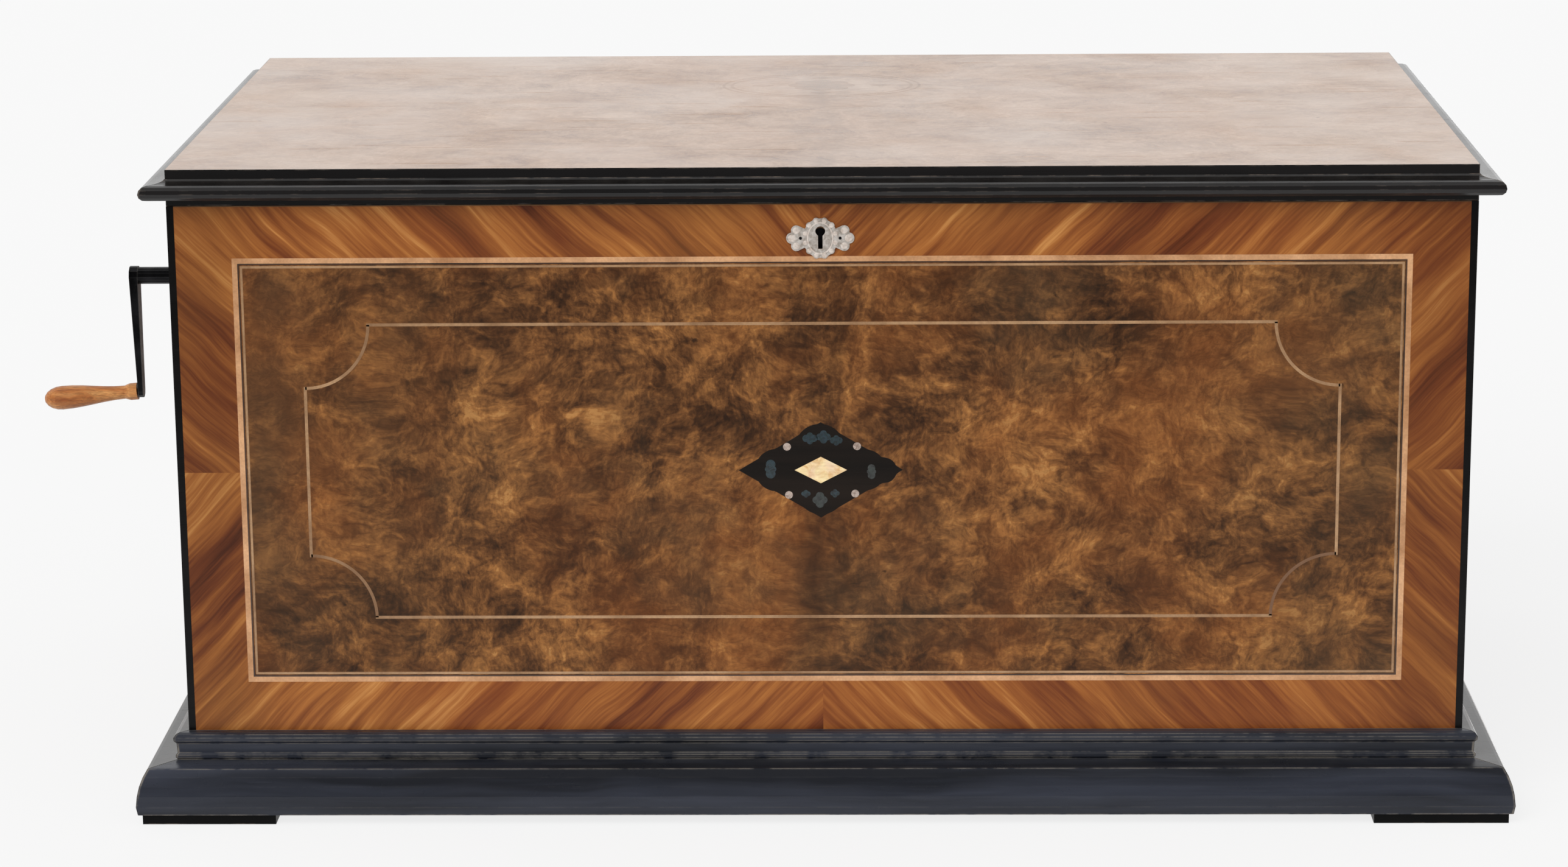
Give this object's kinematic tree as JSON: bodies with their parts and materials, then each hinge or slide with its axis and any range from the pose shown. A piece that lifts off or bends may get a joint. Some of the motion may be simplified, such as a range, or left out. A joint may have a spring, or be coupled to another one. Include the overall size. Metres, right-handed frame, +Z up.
{
  "type": "orchestral music box",
  "caption": "Rectangular veneered case with hinged lid and glass inner lid over a pinned cylinder, comb, bells, drum and castanet, wound by a crank on its left end.",
  "frame": {"origin": "centre of the bounding box at the level of the feet, so the case itself lies 34 mm to +X because the crank reaches out at -X", "axes": "+X along the case towards its right end, -Y towards the front with the keyhole, +Z up"},
  "size_m": [0.843, 0.445, 0.3702],
  "materials": {
    "walnut_veneer": "French polished burr walnut veneer",
    "ebonised_wood": "ebonised and polished",
    "case_wood": "plain softwood, thinly varnished",
    "lid_veneer": "French polished veneer with a high sheen",
    "brass": "aged brass",
    "steel": "fine ground",
    "dark_steel": "blackened steel",
    "nickel": "dull nickel silver",
    "cast_iron": "bronze-lacquered casting",
    "bell_metal": "turned and polished",
    "turned_beech": "turned and waxed",
    "glass": "clear",
    "drum_shell": "brass shell with a parchment head"
  },
  "bodies": {
    "case": {"case_front": "walnut_veneer", "case_back": "case_wood", "case_left_end": "walnut_veneer", "case_right_end": "walnut_veneer", "bottom_board": "case_wood", "plinth_front": "ebonised_wood", "plinth_left": "ebonised_wood", "plinth_right": "ebonised_wood", "foot_front_left": "ebonised_wood", "foot_front_right": "ebonised_wood", "foot_back_left": "ebonised_wood", "foot_back_right": "ebonised_wood", "partition_right": "case_wood", "lever_plate": "brass", "lock_body": "brass", "escutcheon": "nickel", "hinge_case_leaf_left": "brass", "hinge_case_leaf_right": "brass", "crank_bush": "brass", "bedplate": "cast_iron", "barrel_bracket": "brass", "centre_bracket": "brass", "governor_bracket": "brass", "governor_frame": "brass", "comb_base": "cast_iron", "comb": "steel", "hammer_rail": "brass", "bell_stand": "brass", "bell_1": "bell_metal", "bell_2": "bell_metal", "bell_3": "bell_metal", "bell_4": "bell_metal", "drum": "drum_shell", "castanet_block": "turned_beech"},
    "lid": {"lid_panel": "lid_veneer", "lid_moulding_front": "ebonised_wood", "lid_moulding_left": "ebonised_wood", "lid_moulding_right": "ebonised_wood", "hinge_lid_leaf_left": "brass", "hinge_lid_leaf_right": "brass", "lid_hasp": "brass"},
    "glass_lid": {"glass_frame": "ebonised_wood", "glass_pane": "glass"},
    "crank": {"crank_arm": "dark_steel"},
    "grip": {"crank_grip": "turned_beech"},
    "winding": {"winding_arbor": "brass"},
    "click": {"click": "steel"},
    "barrel": {"spring_barrel": "brass"},
    "cylinder_arbor": {"cylinder_arbor": "brass"},
    "cylinder": {"cylinder": "brass"},
    "governor_wheel": {"governor_wheel": "brass"},
    "governor_fan": {"governor_fan": "steel"},
    "bell_hammer_1": {"bell_hammer_1": "steel"},
    "bell_hammer_2": {"bell_hammer_2": "steel"},
    "bell_hammer_3": {"bell_hammer_3": "steel"},
    "bell_hammer_4": {"bell_hammer_4": "steel"},
    "drum_stick": {"drum_stick": "steel"},
    "castanet_striker": {"castanet_striker": "steel"},
    "lock_bolt": {"lock_bolt": "brass"},
    "play_lever": {"play_lever": "steel"}
  },
  "joints": [
    {"name": "lid_hinge", "type": "hinge", "parent": "case", "child": "lid", "pos_m": [0.03394, 0.21895, 0.35], "axis": [-1, 0, 0], "range_deg": [0, 100]},
    {"name": "glass_lid_hinge", "type": "hinge", "parent": "case", "child": "glass_lid", "pos_m": [0.03394, 0.18815, 0.328], "axis": [-1, 0, 0], "range_deg": [0, 85]},
    {"name": "winding_turn", "type": "hinge", "parent": "case", "child": "winding", "pos_m": [-0.21606, -0.03633, 0.2465], "axis": [1, 0, 0], "continuous": true},
    {"name": "crank_turn", "type": "hinge", "parent": "case", "child": "crank", "pos_m": [-0.32606, -0.08485, 0.2888], "axis": [1, 0, 0], "continuous": true},
    {"name": "grip_spin", "type": "hinge", "parent": "crank", "child": "grip", "pos_m": [-0.36606, -0.08485, 0.22004], "axis": [-0.9962, 0, -0.0872], "continuous": true},
    {"name": "click_lift", "type": "hinge", "parent": "case", "child": "click", "pos_m": [-0.27706, -0.00643, 0.26907], "axis": [-1, 0, 0], "range_deg": [0, 15], "stiffness_Nm_per_rad": 0.02, "springref_deg": -11.46},
    {"name": "cylinder_turn", "type": "hinge", "parent": "case", "child": "cylinder_arbor", "pos_m": [0.03394, 0.01015, 0.262], "axis": [1, 0, 0], "continuous": true},
    {"name": "barrel_turn", "type": "hinge", "parent": "case", "child": "barrel", "pos_m": [-0.21606, -0.03633, 0.2465], "axis": [1, 0, 0], "continuous": true},
    {"name": "tune_shift", "type": "slide", "parent": "cylinder_arbor", "child": "cylinder", "axis": [1, 0, 0], "range_m": [0, 0.003]},
    {"name": "governor_wheel_turn", "type": "hinge", "parent": "case", "child": "governor_wheel", "pos_m": [0.21394, -0.02593, 0.242], "axis": [1, 0, 0], "continuous": true},
    {"name": "governor_fan_spin", "type": "hinge", "parent": "case", "child": "governor_fan", "pos_m": [0.21594, -0.04793, 0.242], "axis": [0, 0, 1], "continuous": true},
    {"name": "bell_hammer_1_swing", "type": "hinge", "parent": "case", "child": "bell_hammer_1", "pos_m": [-0.03606, 0.06515, 0.262], "axis": [1, 0, 0], "range_deg": [0, 14], "stiffness_Nm_per_rad": 0.01, "springref_deg": -11.46},
    {"name": "bell_hammer_2_swing", "type": "hinge", "parent": "case", "child": "bell_hammer_2", "pos_m": [0.01594, 0.06515, 0.262], "axis": [1, 0, 0], "range_deg": [0, 14], "stiffness_Nm_per_rad": 0.01, "springref_deg": -11.46},
    {"name": "bell_hammer_3_swing", "type": "hinge", "parent": "case", "child": "bell_hammer_3", "pos_m": [0.06794, 0.06515, 0.262], "axis": [1, 0, 0], "range_deg": [0, 14], "stiffness_Nm_per_rad": 0.01, "springref_deg": -11.46},
    {"name": "bell_hammer_4_swing", "type": "hinge", "parent": "case", "child": "bell_hammer_4", "pos_m": [0.11994, 0.06515, 0.262], "axis": [1, 0, 0], "range_deg": [0, 14], "stiffness_Nm_per_rad": 0.01, "springref_deg": -11.46},
    {"name": "drum_stick_lift", "type": "hinge", "parent": "case", "child": "drum_stick", "pos_m": [-0.11606, 0.06515, 0.262], "axis": [1, 0, 0], "range_deg": [0, 14], "stiffness_Nm_per_rad": 0.01, "springref_deg": -11.46},
    {"name": "castanet_striker_lift", "type": "hinge", "parent": "case", "child": "castanet_striker", "pos_m": [0.16494, 0.06515, 0.262], "axis": [1, 0, 0], "range_deg": [0, 14], "stiffness_Nm_per_rad": 0.01, "springref_deg": -11.46},
    {"name": "lock_bolt_slide", "type": "slide", "parent": "case", "child": "lock_bolt", "axis": [1, 0, 0], "range_m": [0, 0.005]},
    {"name": "play_lever_turn", "type": "hinge", "parent": "case", "child": "play_lever", "pos_m": [0.34294, 0.00015, 0.289], "axis": [0, 0, 1], "range_deg": [-20, 20]}
  ],
  "couplings": [
    {"joint": "glass_lid_hinge", "follows": "lid_hinge", "ratio": 0.85},
    {"joint": "crank_turn", "follows": "winding_turn", "ratio": -3},
    {"joint": "barrel_turn", "follows": "cylinder_turn", "ratio": -0.16667},
    {"joint": "governor_wheel_turn", "follows": "cylinder_turn", "ratio": -4},
    {"joint": "governor_fan_spin", "follows": "cylinder_turn", "ratio": -120}
  ]
}
